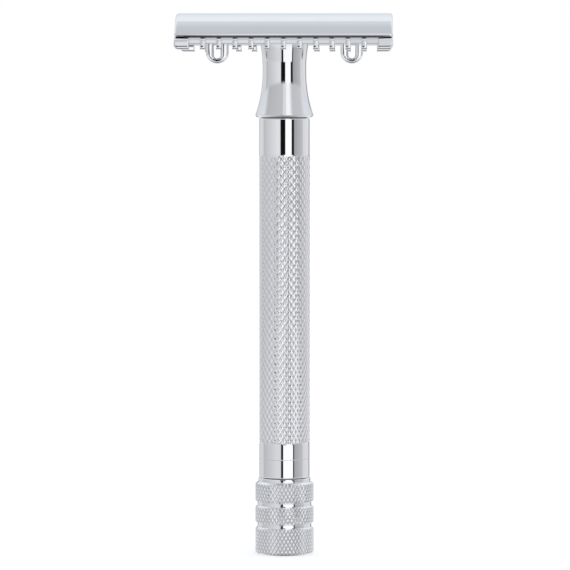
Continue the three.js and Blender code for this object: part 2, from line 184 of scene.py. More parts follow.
def sleeve_faces(sections, count):
    """Faces that join each section of a swept shape, of count points, to the next one."""
    faces = []
    for s in range(sections - 1):
        first, second = s * count, (s + 1) * count
        for k in range(count):
            n = (k + 1) % count
            faces.append((first + k, first + n, second + n, second + k))
    return faces


def end_faces(sections, count):
    """The two flat ends of a swept shape."""
    last = (sections - 1) * count
    return [tuple(range(count))[::-1], tuple(range(last, last + count))]


STRAIGHT_ON = 1e-4  # radians: a corner that turns by less than this isn't rounded


def round_corners(corners, steps=4):
    """A closed outline from (u, v, radius) corners, each rounded to its radius."""
    points = []
    for i, (u, v, radius) in enumerate(corners):
        corner = Vector((u, v))
        before = (Vector(corners[i - 1][:2]) - corner).normalized()
        after = (Vector(corners[(i + 1) % len(corners)][:2]) - corner).normalized()
        turn = math.pi - before.angle(after)
        if radius == 0 or turn < STRAIGHT_ON:
            points.append(corner)
            continue
        reach = radius * math.tan(turn / 2)
        centre = corner + (before + after).normalized() * (radius / math.cos(turn / 2))
        start = corner + before * reach - centre
        end = corner + after * reach - centre
        way = 1 if start.x * end.y - start.y * end.x > 0 else -1
        for k in range(steps + 1):
            points.append(centre + Matrix.Rotation(way * turn * k / steps, 2) @ start)
    return points


def arc(centre_u, centre_v, radius, first, last, steps):
    """Points on an arc, with angles in degrees from the u axis."""
    points = []
    for k in range(steps + 1):
        angle = math.radians(first + (last - first) * k / steps)
        points.append(Vector((centre_u + radius * math.cos(angle), centre_v + radius * math.sin(angle))))
    return points


def arch_height(radius, y):
    return BEND_CENTRE + math.sqrt(radius * radius - y * y)


# ---- Turned pieces, with or without a knurl ----

OUTER_SKIN = 0.4 * MM  # only points this close to the largest radius are knurled
LONG_STRAIGHT = 0.7 * MM  # a straight longer than this gets an extra row near each end
HOLD_DISTANCE = 0.04 * MM  # from the end of the straight to that row


def knurl_share(height, knurl):
    """1 inside a knurled band, running out to 0 at its two ends and outside it."""
    inside = max(min(height - low, high - height) for low, high in knurl["bands"])
    return min(1.0, max(0.0, inside / knurl["run_out"]))


def diamond_groove(turn_share, height, knurl):
    """1 at the bottom of a knurl groove, falling to 0 on a diamond's top."""
    along = (height - knurl["bands"][0][0]) / knurl["pitch"]
    rising = turn_share * knurl["around"] + along
    falling = turn_share * knurl["around"] - along
    nearest = min(abs(rising - round(rising)), abs(falling - round(falling)))
    return knurl_share(height, knurl) * max(0.0, 1 - nearest / knurl["groove"])


def neighbours(rows, closed):
    """Each row with the next one, and in a closed profile the last with the first."""
    return zip(rows, rows[1:] + rows[:1] if closed else rows[1:])


def held(rows, closed):
    """The rows with one more near each end of a long straight, which keeps its shading straight."""
    steadied = []
    for row, following in neighbours(rows, closed):
        steadied.append(row)
        length = math.dist(row, following)
        if length > LONG_STRAIGHT:
            for share in (HOLD_DISTANCE / length, 1 - HOLD_DISTANCE / length):
                steadied.append(tuple(a + (b - a) * share for a, b in zip(row, following)))
    return steadied if closed else steadied + rows[-1:]


def turned(name, rows, segments, knurl=None):
    """A solid of revolution about Z. Rows are (radius, height) along its profile, anticlockwise.

    The profile is a closed loop, or starts and ends on the axis.
    """
    closed = rows[0][0] > 0
    rows = held(rows, closed)
    vertices, faces, depths, rings = [], [], [], []
    outside = max(radius for radius, _ in rows) - OUTER_SKIN
    cut = knurl["depth"] if knurl else 0
    for radius, height in rows:
        count = 1 if radius == 0 else segments
        ring = []
        for k in range(count):
            groove = 0.0
            if knurl and radius > outside:
                groove = diamond_groove(k / segments, height, knurl)
            r = radius - groove * cut
            angle = 2 * math.pi * k / segments
            ring.append(len(vertices))
            vertices.append((r * math.cos(angle), r * math.sin(angle), height))
            depths.append(groove)
        rings.append(ring)
    for lower, upper in neighbours(rings, closed):
        for k in range(segments):
            n = (k + 1) % segments
            if len(lower) == 1:
                faces.append((lower[0], upper[n], upper[k]))
            elif len(upper) == 1:
                faces.append((lower[k], lower[n], upper[0]))
            else:
                faces += split_along_groove(depths, lower[k], lower[n], upper[n], upper[k])
    piece = make_piece(name, vertices, faces)
    if knurl:
        mark_knurl(piece, outside, knurl)
    shade(piece)
    return piece


def split_along_groove(depths, a, b, c, d):
    """The quad a, b, c, d, cut into triangles along the diagonal that lies in a groove."""
    if max(depths[a], depths[b], depths[c], depths[d]) == 0:
        return [(a, b, c, d)]
    if depths[a] + depths[c] > depths[b] + depths[d]:
        return [(a, b, c), (a, c, d)]
    return [(a, b, d), (b, c, d)]


def mark_knurl(piece, outside, knurl):
    """Stores where the knurl is and how much painted shade darkens each point of it, for the material.
    """
    knurled = piece.data.attributes.new("knurled", "FLOAT", "POINT")
    groove = piece.data.attributes.new("groove", "FLOAT", "POINT")
    for vertex, band, depth in zip(piece.data.vertices, knurled.data, groove.data):
        x, y, z = vertex.co
        if math.hypot(x, y) > outside - knurl["depth"]:
            band.value = knurl_share(z, knurl)
            depth.value = knurl["groove_shade"] * diamond_groove(math.atan2(y, x) / (2 * math.pi), z, knurl)


def plain_rows(corners, steps=4):
    return [(point.x, point.y) for point in round_corners(corners, steps)]


# ---- Prisms with softened edges ----


def inset_outline(points, distance):
    """The closed anticlockwise outline moved inwards by a distance."""
    moved = []
    for i, point in enumerate(points):
        before = (point - points[i - 1]).normalized()
        after = (points[(i + 1) % len(points)] - point).normalized()
        inward = Vector((-before.y - after.y, before.x + after.x)).normalized()
        # A sharp corner moves further than a straight, by at most twice the distance.
        scale = max(0.5, inward.dot(Vector((-before.y, before.x))))
        moved.append(point + inward * (distance / scale))
    return moved


def soft_stations(half_width, edge, steps, spans):
    """(position, inset) pairs along a prism whose end edges have a rounded edge radius."""
    angles = [math.pi / 2 * k / steps for k in range(steps + 1)]
    end = [(half_width - edge + edge * math.cos(a), edge * (1 - math.sin(a))) for a in angles]
    reach = half_width - edge
    middle = [(reach * (2 * k / spans - 1), 0) for k in range(1, spans)]
    return [(-position, inset) for position, inset in end] + middle + end[::-1]


def soft_prism(name, outline, half_width, edge, place, steps=3, spans=1, reshape=None):
    """A prism of an anticlockwise outline. place turns (position, u, v) into a point."""
    vertices = []
    stations = soft_stations(half_width, edge, steps, spans)
    for position, inset in stations:
        section = inset_outline(outline, inset) if inset > 0 else outline
        for point in section:
            if reshape:
                point = reshape(position, point)
            vertices.append(place(position, point.x, point.y))
    size = (len(stations), len(outline))
    return make_piece(name, vertices, sleeve_faces(*size) + end_faces(*size))


def along_x(position, u, v):
    return (position, u, v)


def along_y(position, u, v):
    return (u, position, v)


# ---- Cap ----

CAP_ROUNDING = 0.55 * MM  # how far along the head each end rounds over
CAP_END_DROP = 0.3 * MM
CAP_LIP_TOP = CAP_CREST - 4.15 * MM
LIP_SHOULDER = 0.2 * MM
LIP_LEAN = 8  # degrees that the lip's face leans in towards its top
LIP_SETBACK = 0.04 * MM
LIP_EDGE = 0.1 * MM
CROWN_STEPS = 48
LIP_STEPS = 4
CAP_END_STEPS = 8


def cap_section(inset):
    """Outer and inner halves of the cap's section, from the middle out to the lip."""
    rise = CAP_CREST - CAP_LIP_TOP
    crown = (CAP_HALF_DEPTH**2 + rise**2) / (2 * rise)
    radius = crown - inset
    reach = CAP_HALF_DEPTH - inset
    shoulder_u = reach - LIP_SHOULDER - LIP_SETBACK
    lean = math.degrees(math.asin(shoulder_u / (radius - LIP_SHOULDER)))
    centre = CAP_CREST - crown
    outer = arc(0, centre, radius, 90, 90 - lean, CROWN_STEPS)
    turn = math.radians(lean)
    shoulder_v = centre + (radius - LIP_SHOULDER) * math.cos(turn)
    outer += arc(shoulder_u, shoulder_v, LIP_SHOULDER, 90 - lean, LIP_LEAN, LIP_STEPS)[1:]
    edge_u = reach - LIP_EDGE
    edge_v = arch_height(CAP_UNDERSIDE_RADIUS, edge_u) + LIP_EDGE
    tilt = math.degrees(math.asin(edge_u / CAP_UNDERSIDE_RADIUS))
    inner = arc(edge_u, edge_v, LIP_EDGE, LIP_LEAN, -90 - tilt, LIP_STEPS)
    under_u = inner[-1].x
    for k in range(1, CROWN_STEPS + 1):
        u = under_u * (1 - k / CROWN_STEPS)
        inner.append(Vector((u, arch_height(CAP_UNDERSIDE_RADIUS, u))))
    return outer, inner[::-1]


def make_cap():
    stations = []
    for k in range(CAP_END_STEPS + 1):
        angle = math.pi / 2 * k / CAP_END_STEPS
        position = HALF_HEAD - CAP_ROUNDING * (1 - math.cos(angle))
        stations.append((position, CAP_END_DROP * (1 - math.sin(angle))))
    stations += [(-position, inset) for position, inset in stations[::-1]]
    vertices = []
    for position, inset in stations:
        outer, inner = cap_section(inset)
        right = outer + inner[::-1]
        left = [Vector((-point.x, point.y)) for point in right[-2:0:-1]]
        vertices += [(position, point.x, point.y) for point in right + left]
    half = len(outer)
    count = len(right) + len(left)
    faces = sleeve_faces(len(stations), count)
    # Each end is a row of narrow quads between the outer and the inner line of the section.
    for start in (0, (len(stations) - 1) * count):
        for k in range(half - 1):
            strip = (k, k + 1, 2 * half - 2 - k, 2 * half - 1 - k)
            faces.append(tuple(start + i for i in strip))
            mirrored = [-i % count if i < 2 * half - 1 else i for i in strip]
            faces.append(tuple(start + i for i in mirrored))
    shell = make_piece("cap_casting", vertices, faces)
    combine(shell, merge("pins", [make_pin(side) for side in (-1, 1)]), "UNION")
    shade(shell)
    return shell


def make_pin(side):
    root = CAP_CREST - PIN_ROOT_DEPTH
    corners = [
        (0, PIN_TIP, 0),
        (PIN_RADIUS, PIN_TIP, PIN_TIP_ROUNDING),
        (PIN_RADIUS, root, 0),
        (0, root, 0),
    ]
    pin = turned("pin", plain_rows(corners), PIN_SEGMENTS)
    pin.data.transform(Matrix.Translation((side * PIN_OFFSET, 0, 0)))
    return pin


# ---- Comb plate ----

PLATE_UNDERSIDE = 96.45 * MM
PLATE_HALF_DEPTH = 8.8 * MM
PLATE_TOP_HALF_DEPTH = 8.66 * MM
PLATE_EDGE = 0.15 * MM
PLATE_ARCH_STEPS = 48
TOOTH_TIP = 95.35 * MM
TOOTH_PITCH = 3 * MM
TOOTH_HALF_WIDTH = 0.5 * MM
TOOTH_THICKNESS = 1 * MM
TOOTH_EDGE = 0.16 * MM
TOOTH_SHOULDER = 1.1 * MM
TOOTH_LEAN = 0.2 * MM  # how far the front of a tooth leans in towards its top
TOOTH_ROOT = 0.4 * MM
TOOTH_REACH = 5  # teeth on each side of the middle one
TOOTH_CORNER_STEPS = 6
TOOTH_TOP_STEP = 0.18  # between the points of a tooth's curved top, as a share of its length
HIDDEN_STEP = 0.02 * MM  # keeps a joined piece's faces off the plate's own
TAB_HALF_WIDTH = 1.4 * MM
TAB_CORNER = 0.8 * MM
TAB_SPANS = 16
LOOP_HALF_WIDTH = 2.15 * MM
LOOP_HALF_DEPTH = 1.5 * MM
LOOP_EDGE = 0.55 * MM
LOOP_EDGE_STEPS = 5
LOOP_ARC_STEPS = 24
LOOP_DRAFT = math.radians(3.2)  # thinner towards the bottom, as a cast loop leaves its mould
WINDOW_HALF_WIDTH = 0.65 * MM
WINDOW_BOTTOM = 93.85 * MM
PIN_HOLE_RADIUS = 1 * MM
SWAGE_STEM_RADIUS = 3.4 * MM
SWAGE_RIM_RADIUS = 3.9 * MM
SWAGE_RIM_BOTTOM = 98.05 * MM
FIT_GAP = 0.02 * MM


def tooth_outline():
    """Side view of a tooth on the +Y side: out under the blade, then hooked down."""
    root = PLATE_HALF_DEPTH - TOOTH_THICKNESS
    inner = COMB_HALF_DEPTH - TOOTH_THICKNESS
    under = PLATE_UNDERSIDE + HIDDEN_STEP
    rounding = TOOTH_THICKNESS / 2 - HIDDEN_STEP
    shoulder = COMB_HALF_DEPTH - TOOTH_LEAN
    corners = [
        (root, under, 0),
        (inner, under, TOOTH_ROOT),
        (inner, TOOTH_TIP, rounding),
        (COMB_HALF_DEPTH, TOOTH_TIP, rounding),
        (shoulder, arch_height(COMB_TOP_RADIUS, shoulder), TOOTH_SHOULDER),
    ]
    top_radius = COMB_TOP_RADIUS - HIDDEN_STEP
    for step in (3, 2, 1, 0):
        y = root + (COMB_HALF_DEPTH - root) * TOOTH_TOP_STEP * step
        corners.append((y, arch_height(top_radius, y), 0))
    return round_corners(corners, TOOTH_CORNER_STEPS)


def round_tab_corner(position, point):
    """Lifts the bottom of an end tab along a quarter circle towards its outer end."""
    height = PLATE_UNDERSIDE - point.y
    inside = TAB_HALF_WIDTH - position
    if height <= 0 or inside >= TAB_CORNER:
        return point
    lift = TAB_CORNER - math.sqrt(TAB_CORNER**2 - (TAB_CORNER - inside) ** 2)
    share = 1 - lift / (PLATE_UNDERSIDE - TOOTH_TIP)
    return Vector((point.x, PLATE_UNDERSIDE - height * share))


def make_teeth():
    teeth = []
    for side in (1, -1):
        for i in range(-TOOTH_REACH, TOOTH_REACH + 1):
            tooth = soft_prism("tooth", tooth_outline(), TOOTH_HALF_WIDTH, TOOTH_EDGE, along_x)
            place_copy(tooth, i * TOOTH_PITCH, 1, side)
            teeth.append(tooth)
        for end in (1, -1):
            tab = soft_prism(
                "tab", tooth_outline(), TAB_HALF_WIDTH, TOOTH_EDGE, along_x,
                spans=TAB_SPANS, reshape=round_tab_corner,
            )
            place_copy(tab, end * (HALF_HEAD - TAB_HALF_WIDTH), end, side)
            teeth.append(tab)
    return teeth


def place_copy(piece, x, flip_x, flip_y):
    """Mirrors a mesh in X or Y and slides it along the head."""
    flip = Matrix.Diagonal((flip_x, flip_y, 1, 1))
    piece.data.transform(Matrix.Translation((x, 0, 0)) @ flip)
    if flip_x * flip_y < 0:
        piece.data.flip_normals()


def make_loop(side):
    top = PLATE_UNDERSIDE + LOOP_EDGE + HIDDEN_STEP
    outline = arc(0, LOOP_BOTTOM + LOOP_HALF_WIDTH, LOOP_HALF_WIDTH, 180, 360, LOOP_ARC_STEPS)
    outline += [Vector((LOOP_HALF_WIDTH, top)), Vector((WINDOW_HALF_WIDTH, top))]
    outline += arc(0, WINDOW_BOTTOM + WINDOW_HALF_WIDTH, WINDOW_HALF_WIDTH, 360, 180, LOOP_ARC_STEPS)
    outline += [Vector((-WINDOW_HALF_WIDTH, top)), Vector((-LOOP_HALF_WIDTH, top))]
    loop = soft_prism("loop", outline, LOOP_HALF_DEPTH, LOOP_EDGE, along_y, LOOP_EDGE_STEPS)
    for vertex in loop.data.vertices:
        vertex.co.y *= 1 - (top - vertex.co.z) * math.tan(LOOP_DRAFT) / LOOP_HALF_DEPTH
    loop.data.transform(Matrix.Translation((side * PIN_OFFSET, 0, 0)))
    return loop


def make_comb():
    corners = [
        (-PLATE_HALF_DEPTH, PLATE_UNDERSIDE, PLATE_EDGE),
        (PLATE_HALF_DEPTH, PLATE_UNDERSIDE, PLATE_EDGE),
    ]
    for k in range(PLATE_ARCH_STEPS + 1):
        y = PLATE_TOP_HALF_DEPTH * (1 - 2 * k / PLATE_ARCH_STEPS)
        rounding = PLATE_EDGE if k in (0, PLATE_ARCH_STEPS) else 0
        corners.append((y, arch_height(COMB_TOP_RADIUS, y), rounding))
    comb = soft_prism("comb_casting", round_corners(corners), HALF_HEAD, PLATE_EDGE, along_x)
    combine(comb, merge("teeth", make_teeth()), "UNION")
    combine(comb, merge("loops", [make_loop(side) for side in (-1, 1)]), "UNION")
    drills = [rod("drill", SWAGE_STEM_RADIUS + FIT_GAP, TOOTH_TIP, CAP_CREST)]
    for side in (-1, 1):
        drill = rod("drill", PIN_HOLE_RADIUS, PLATE_UNDERSIDE - HIDDEN_STEP, CAP_CREST)
        drill.data.transform(Matrix.Translation((side * PIN_OFFSET, 0, 0)))
        drills.append(drill)
    combine(comb, merge("drills", drills), "DIFFERENCE")
    combine(comb, rod("drill", SWAGE_RIM_RADIUS + FIT_GAP, SWAGE_RIM_BOTTOM, CAP_CREST), "DIFFERENCE")
    shade(comb)
    return comb


def rod(name, radius, bottom, top, segments=96):
    corners = [(0, bottom, 0), (radius, bottom, 0), (radius, top, 0), (0, top, 0)]
    return turned(name, plain_rows(corners), segments)


# ---- Neck ----

NECK_SEGMENTS = 192
NECK_RIM = 83.15 * MM
NECK_BASE_RADIUS = 5.2 * MM
SEAM_DEPTH = 0.7 * MM  # the joint with the tube opens into a narrow wedge, which looks black
SEAM_HEIGHT = 0.2 * MM
NECK_WAIST = 91.55 * MM
NECK_WAIST_RADIUS = 4.12 * MM
NECK_TOP_RADIUS = 4.55 * MM
FLARE_POWER_BELOW = 2.16
FLARE_POWER_ABOVE = 2.46
NECK_SPIGOT_RADIUS = 3.58 * MM
NECK_BORE_RADIUS = 3.25 * MM
NECK_SHOULDER = 94.95 * MM
NECK_THROAT_RADIUS = 2.6 * MM
NECK_SPIGOT_EDGE = 0.1 * MM
NECK_BASE_EDGE = 0.06 * MM
NECK_RIM_EDGE = 0.12 * MM
NECK_THROAT_EDGE = 0.2 * MM
SWAGE_EDGE = 0.25 * MM
FLARE_STEPS = 40


def neck_radius(z):
    """The flared outside: a waist that opens towards the plate and towards the rim."""
    if z < NECK_WAIST:
        share = (NECK_WAIST - z) / (NECK_WAIST - NECK_RIM)
        return NECK_WAIST_RADIUS + (NECK_RIM_RADIUS - NECK_WAIST_RADIUS) * share**FLARE_POWER_BELOW
    share = (z - NECK_WAIST) / (PLATE_UNDERSIDE - NECK_WAIST)
    return NECK_WAIST_RADIUS + (NECK_TOP_RADIUS - NECK_WAIST_RADIUS) * share**FLARE_POWER_ABOVE


def make_neck():
    spigot_bottom = neck_low.z
    rim_top = neck_high.z
    corners = [
        (NECK_BORE_RADIUS, spigot_bottom, 0),
        (NECK_SPIGOT_RADIUS, spigot_bottom, NECK_SPIGOT_EDGE),
        (NECK_SPIGOT_RADIUS, TUBE_TOP + FIT_GAP, 0),
        (TUBE_RADIUS - SEAM_DEPTH, TUBE_TOP + FIT_GAP, 0),
        (NECK_BASE_RADIUS, TUBE_TOP + SEAM_HEIGHT, NECK_BASE_EDGE),
        (NECK_RIM_RADIUS, NECK_RIM, NECK_RIM_EDGE),
    ]
    shoulder = PLATE_UNDERSIDE - FIT_GAP
    for k in range(1, FLARE_STEPS + 1):
        z = NECK_RIM + (shoulder - NECK_RIM) * k / FLARE_STEPS
        corners.append((neck_radius(z), z, 0))
    corners += [
        (SWAGE_STEM_RADIUS, shoulder, 0),
        (SWAGE_STEM_RADIUS, SWAGE_RIM_BOTTOM + FIT_GAP, 0),
        (SWAGE_RIM_RADIUS, SWAGE_RIM_BOTTOM + FIT_GAP, 0),
        (SWAGE_RIM_RADIUS, rim_top, SWAGE_EDGE),
        (NECK_THROAT_RADIUS, rim_top, NECK_THROAT_EDGE),
        (NECK_THROAT_RADIUS, NECK_SHOULDER, 0),
        (NECK_BORE_RADIUS, NECK_SHOULDER, 0),
    ]
    return turned("neck_turning", plain_rows(corners), NECK_SEGMENTS)


# ---- Handle tube ----

# A knurl has so many diamonds around, each a pitch high. "groove" is half a groove's width as a
# share of a diamond, the groove's shade number is how much painted shade darkens the bottom of a
# groove, and "run_out" is the length over which the grooves fade at the ends of each band.
HANDLE_KNURL = {
    "around": 28, "pitch": 1.61 * MM, "depth": 0.12 * MM, "groove": 0.3, "groove_shade": 0.55,
    "run_out": 0.4 * MM,
    "bands": [(21 * MM, 75.65 * MM)],
}
KNURL_SAMPLES = 8  # points across one diamond, both ways
TUBE_BORE_RADIUS = 3.6 * MM
TUBE_EDGE = 0.2 * MM
TUBE_BORE_EDGE = 0.05 * MM
RING_LINE = 18.1 * MM  # a fine turned line round the smooth lower band
RING_LINE_HALF_WIDTH = 0.07 * MM
RING_LINE_DEPTH = 0.14 * MM
KNURL_MARGIN = 0.05 * MM  # from the end of the knurl to the first row of the plain band


def knurled_rows(radius, bottom, top, knurl, shoulder=0.0):
    """Rows close enough together to carry the knurl of one band, rounded over at both ends."""
    count = round((top - bottom) * KNURL_SAMPLES / knurl["pitch"])
    rows = []
    for k in range(count + 1):
        z = bottom + (top - bottom) * k / count
        over = max(0.0, shoulder - (z - bottom), shoulder - (top - z))
        rows.append((radius - shoulder + math.sqrt(shoulder**2 - over**2), z))
    return rows


def make_tube():
    knurl_bottom, knurl_top = HANDLE_KNURL["bands"][0]
    line = [
        (TUBE_RADIUS, RING_LINE - RING_LINE_HALF_WIDTH, 0),
        (TUBE_RADIUS - RING_LINE_DEPTH, RING_LINE, 0),
        (TUBE_RADIUS, RING_LINE + RING_LINE_HALF_WIDTH, 0),
    ]
    lower = plain_rows([
        (TUBE_BORE_RADIUS, TUBE_TOP, 0),
        (TUBE_BORE_RADIUS, TUBE_BOTTOM, TUBE_BORE_EDGE),
        (TUBE_RADIUS, TUBE_BOTTOM, TUBE_EDGE),
        *line,
        (TUBE_RADIUS, knurl_bottom - KNURL_MARGIN, 0),
    ])
    upper = plain_rows([
        (TUBE_RADIUS, knurl_top + KNURL_MARGIN, 0),
        (TUBE_RADIUS, TUBE_TOP, TUBE_EDGE),
        (TUBE_BORE_RADIUS, TUBE_TOP, 0),
        (TUBE_BORE_RADIUS, TUBE_BOTTOM, 0),
    ])
    middle = knurled_rows(TUBE_RADIUS, knurl_bottom, knurl_top, HANDLE_KNURL)
    rows = lower[1:] + middle + upper[:-1]
    segments = HANDLE_KNURL["around"] * KNURL_SAMPLES
    return turned("knurled_tube", rows, segments, HANDLE_KNURL)


# ---- Knob ----

KNOB_RINGS = [(0.2 * MM, 4.98 * MM), (5.87 * MM, 9.03 * MM), (9.92 * MM, 13.5 * MM)]
KNOB_SHOULDER = 0.3 * MM  # radius over which the edges of a ring are rounded
KNOB_KNURL = {
    "around": 46, "pitch": 1.32 * MM, "depth": 0.15 * MM, "groove": 0.3, "groove_shade": 1,
    "run_out": 0.12 * MM,
    "bands": KNOB_RINGS,
}
KNOB_BASE_CHAMFER = 0.2 * MM
KNOB_BASE_EDGE = 0.08 * MM
KNOB_EDGE = 0.1 * MM
KNOB_RECESS_EDGE = 0.05 * MM
KNOB_GROOVE_RADIUS = 5.13 * MM
KNOB_GROOVE_FLOOR = 0.6 * MM
KNOB_LIP_RADIUS = 4.95 * MM
KNOB_LIP_BOTTOM = 13.8 * MM
KNOB_RECESS_RADIUS = 3.5 * MM
KNOB_RECESS_FLOOR = 14.18 * MM


def make_knob():
    rows = plain_rows([
        (0, 0, 0),
        (KNOB_RADIUS - KNOB_BASE_CHAMFER - KNOB_SHOULDER, 0, KNOB_BASE_EDGE),
        (KNOB_RADIUS - KNOB_SHOULDER, KNOB_BASE_CHAMFER, 0),
    ])[:-1]
    for i, (bottom, top) in enumerate(KNOB_RINGS):
        rows += knurled_rows(KNOB_RADIUS, bottom, top, KNOB_KNURL, KNOB_SHOULDER)
        if i + 1 < len(KNOB_RINGS):
            floor = (top + KNOB_RINGS[i + 1][0]) / 2
            rows += plain_rows([
                (KNOB_RADIUS - KNOB_SHOULDER, top, 0),
                (KNOB_GROOVE_RADIUS, floor - KNOB_GROOVE_FLOOR / 2, KNOB_EDGE),
                (KNOB_GROOVE_RADIUS, floor + KNOB_GROOVE_FLOOR / 2, KNOB_EDGE),
                (KNOB_RADIUS - KNOB_SHOULDER, KNOB_RINGS[i + 1][0], 0),
            ])[1:-1]
    rows += plain_rows([
        (0, KNOB_RINGS[-1][1], 0),
        (KNOB_LIP_RADIUS, KNOB_LIP_BOTTOM, KNOB_EDGE),
        (KNOB_LIP_RADIUS, KNOB_TOP, KNOB_EDGE),
        (KNOB_RECESS_RADIUS, KNOB_TOP, KNOB_RECESS_EDGE),
        (KNOB_RECESS_RADIUS, KNOB_RECESS_FLOOR, 0),
        (0, KNOB_RECESS_FLOOR, 0),
    ])[1:]
    segments = KNOB_KNURL["around"] * KNURL_SAMPLES
    return turned("knurled_knob", rows, segments, KNOB_KNURL)


# ---- Threaded stud ----

THREAD_PITCH = 0.8 * MM
THREAD_DEPTH = 0.45 * MM
THREAD_AROUND = 64
THREAD_STEPS = 8  # rows in one turn of the thread
THREAD_SLOPE = 2.4  # how fast a flank rises, in thread depths for each pitch along the stud
THREAD_ROOT = 0.1  # the part of that rise which the flat root cuts off, in thread depths
STUD_NECK = 0.6 * MM  # plain length above the thread
STUD_STEP = 0.1 * MM  # over which the thread's last turn fades into it
STUD_TIP_CHAMFER = 0.4 * MM


def thread_depth(turn_share, z):
    """How far the thread's surface lies below its crest: a flat crest, flanks and a flat root."""
    phase = (z / THREAD_PITCH - turn_share) % 1.0
    flank = THREAD_SLOPE * abs(phase - 0.5) - THREAD_ROOT
    return THREAD_DEPTH * (1 - min(1.0, max(0.0, flank)))


def make_stud():
    top = arch_height(CAP_UNDERSIDE_RADIUS, STUD_RADIUS)
    thread_top = top - STUD_NECK
    count = round((thread_top - STUD_BOTTOM) * THREAD_STEPS / THREAD_PITCH)
    rings = []
    for k in range(count + 1):
        z = STUD_BOTTOM + (thread_top - STUD_BOTTOM) * k / count
        limit = STUD_RADIUS - max(0.0, STUD_TIP_CHAMFER - (z - STUD_BOTTOM))
        ring = []
        for i in range(THREAD_AROUND):
            share = i / THREAD_AROUND
            radius = min(limit, STUD_RADIUS - thread_depth(share, z))
            angle = 2 * math.pi * share
            ring.append((radius * math.cos(angle), radius * math.sin(angle), z))
        rings.append(ring)
    for z in (thread_top + STUD_STEP, top):
        angles = [2 * math.pi * i / THREAD_AROUND for i in range(THREAD_AROUND)]
        rings.append([(STUD_RADIUS * math.cos(a), STUD_RADIUS * math.sin(a), z) for a in angles])
    vertices = [point for ring in rings for point in ring]
    size = (len(rings), THREAD_AROUND)
    stud = make_piece("threaded_stud", vertices, sleeve_faces(*size) + end_faces(*size))
    shade(stud)
    return stud


# ---- Blade ----

BLADE_EDGE_HALF_LENGTH = 18.6 * MM
BLADE_TAB_HALF_WIDTH = 6.6 * MM
BLADE_GRIND = 0.6 * MM
BLADE_GAP_SHADE_BAND = 2.5 * MM  # width of the near-black band along each edge, on the upper side: painted shade for the gap under the cap's lip
BLADE_EDGE_SHARE = 0.08  # how thick the very edge is, as a share of the sheet
BLADE_STRIPS = 120
BLADE_SLOT_HALF_WIDTH = 0.8 * MM
BLADE_SLOT_REACH = 16 * MM
BLADE_SLOT_CORNER = 0.4 * MM
BLADE_CENTRE_HOLE = 2.9 * MM
BLADE_CENTRE_SEGMENTS = 64
BLADE_PIN_HOLE = 1.45 * MM
BLADE_TAB_CORNER = 0.8 * MM
BLADE_NOTCH_CORNER = 0.3 * MM  # between a tab and the end of an edge
BLADE_SHARP_ANGLE = math.radians(20)


def flat_plate(name, outline, half_height):
    """A flat prism along Z, from an anticlockwise outline."""
    vertices = [(point.x, point.y, z) for z in (-half_height, half_height) for point in outline]
    size = (2, len(outline))
    return make_piece(name, vertices, sleeve_faces(*size) + end_faces(*size))


def blade_outline():
    tab = BLADE_TAB_HALF_WIDTH
    edge, end = BLADE_EDGE_HALF_LENGTH, BLADE_HALF_LENGTH
    quarter = [
        (end, tab, BLADE_TAB_CORNER),
        (edge, tab, BLADE_NOTCH_CORNER),
        (edge, BLADE_HALF_WIDTH, 0),
    ]
    top = quarter + [(-u, v, r) for u, v, r in quarter[::-1]]
    return round_corners(top + [(u, -v, r) for u, v, r in top[::-1]])


def bend_blade(blade):
    """Marks the band of painted shade along the edges, grinds the edges thin and wraps the flat blade
    over the comb plate.
    """
    gap_shade = blade.data.attributes.new("gap_shade", "FLOAT", "POINT")
    for vertex, in_gap_shade in zip(blade.data.vertices, gap_shade.data):
        x, y, z = vertex.co
        in_gap_shade.value = 1.0 if z > 0 and abs(y) > BLADE_HALF_WIDTH - BLADE_GAP_SHADE_BAND else 0.0
        ground = max(0.0, (abs(y) - BLADE_HALF_WIDTH + BLADE_GRIND) / BLADE_GRIND)
        z *= 1 - ground * (1 - BLADE_EDGE_SHARE)
        angle = y / BEND_RADIUS
        radius = BEND_RADIUS + z
        vertex.co = (x, radius * math.sin(angle), BEND_CENTRE + radius * math.cos(angle))


def make_blade():
    """Cut flat from a sheet divided into narrow strips, then bent over the comb plate."""
    half = BLADE_THICKNESS / 2
    vertices, faces = [], []
    for k in range(BLADE_STRIPS + 1):
        y = BLADE_HALF_WIDTH * (2 * k / BLADE_STRIPS - 1)
        for x in (-BLADE_HALF_LENGTH, BLADE_HALF_LENGTH):
            vertices += [(x, y, -half), (x, y, half)]
    for k in range(BLADE_STRIPS):
        a, b = 4 * k, 4 * k + 4
        faces += [(a, b, b + 2, a + 2), (a + 1, a + 3, b + 3, b + 1)]
        faces += [(a, a + 1, b + 1, b), (a + 2, b + 2, b + 3, a + 3)]
    last = 4 * BLADE_STRIPS
    faces += [(0, 2, 3, 1), (last, last + 1, last + 3, last + 2)]
    blade = make_piece("blade_leaf", vertices, faces)
    combine(blade, flat_plate("outline", blade_outline(), MM), "INTERSECT")
    slot = [(-1, -1), (1, -1), (1, 1), (-1, 1)]
    corners = [(u * BLADE_SLOT_REACH, v * BLADE_SLOT_HALF_WIDTH, BLADE_SLOT_CORNER) for u, v in slot]
    combine(blade, flat_plate("slot", round_corners(corners), MM), "DIFFERENCE")
    combine(blade, rod("hole", BLADE_CENTRE_HOLE, -MM, MM, BLADE_CENTRE_SEGMENTS), "DIFFERENCE")
    for side in (-1, 1):
        hole = rod("hole", BLADE_PIN_HOLE, -MM, MM, PIN_SEGMENTS)
        hole.data.transform(Matrix.Translation((side * PIN_OFFSET, 0, 0)))
        combine(blade, hole, "DIFFERENCE")
    bend_blade(blade)
    shade(blade, BLADE_SHARP_ANGLE)
    return blade


# ---- Node trees ----


def srgb(level):
    """Linear light for a display level from 0 to 255."""
    share = level / 255
    return share / 12.92 if share <= 0.04045 else ((share + 0.055) / 1.055) ** 2.4


